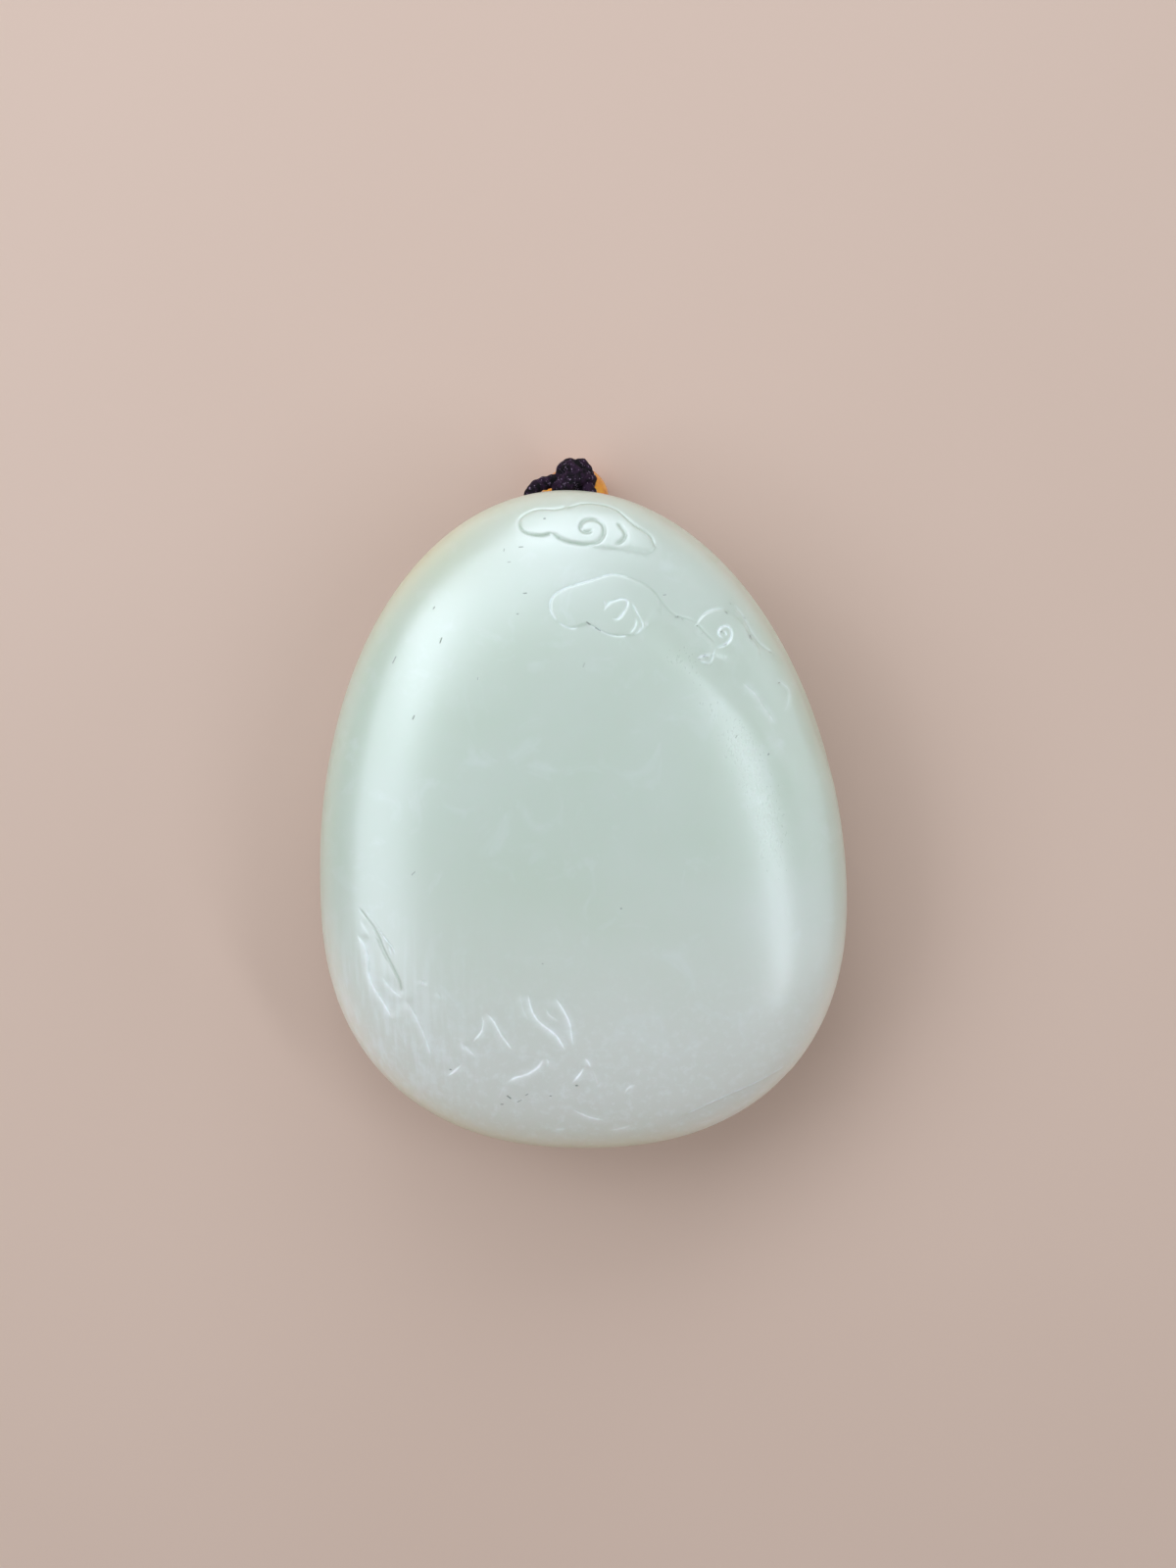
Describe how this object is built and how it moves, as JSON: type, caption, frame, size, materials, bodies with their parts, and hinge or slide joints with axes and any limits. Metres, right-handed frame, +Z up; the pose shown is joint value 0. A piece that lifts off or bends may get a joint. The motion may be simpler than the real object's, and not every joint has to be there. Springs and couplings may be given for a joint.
{
  "type": "jade carving",
  "caption": "Egg-shaped pale jade pebble carved in low relief with scroll clouds over mountain ridges, drilled for a dark braided cord with a button knot and an amber bead.",
  "frame": {"origin": "under the middle of the pebble's outline, on the surface that its back rests on", "axes": "+X to the right as the carving is seen, +Y towards the end with the cord hole, +Z up out of the carved face"},
  "size_m": [0.0514, 0.068, 0.022],
  "materials": {
    "jade": "waxy polished pale green-white nephrite, slightly translucent, warm tint at the rim",
    "thread": "round braid of dark purple-black thread",
    "amber": "polished translucent orange amber"
  },
  "bodies": {
    "root": {"jade_pebble": "jade", "cord_bail": "thread", "cord_knot": "thread", "amber_bead": "amber", "cord_loop": "thread"}
  },
  "joints": []
}
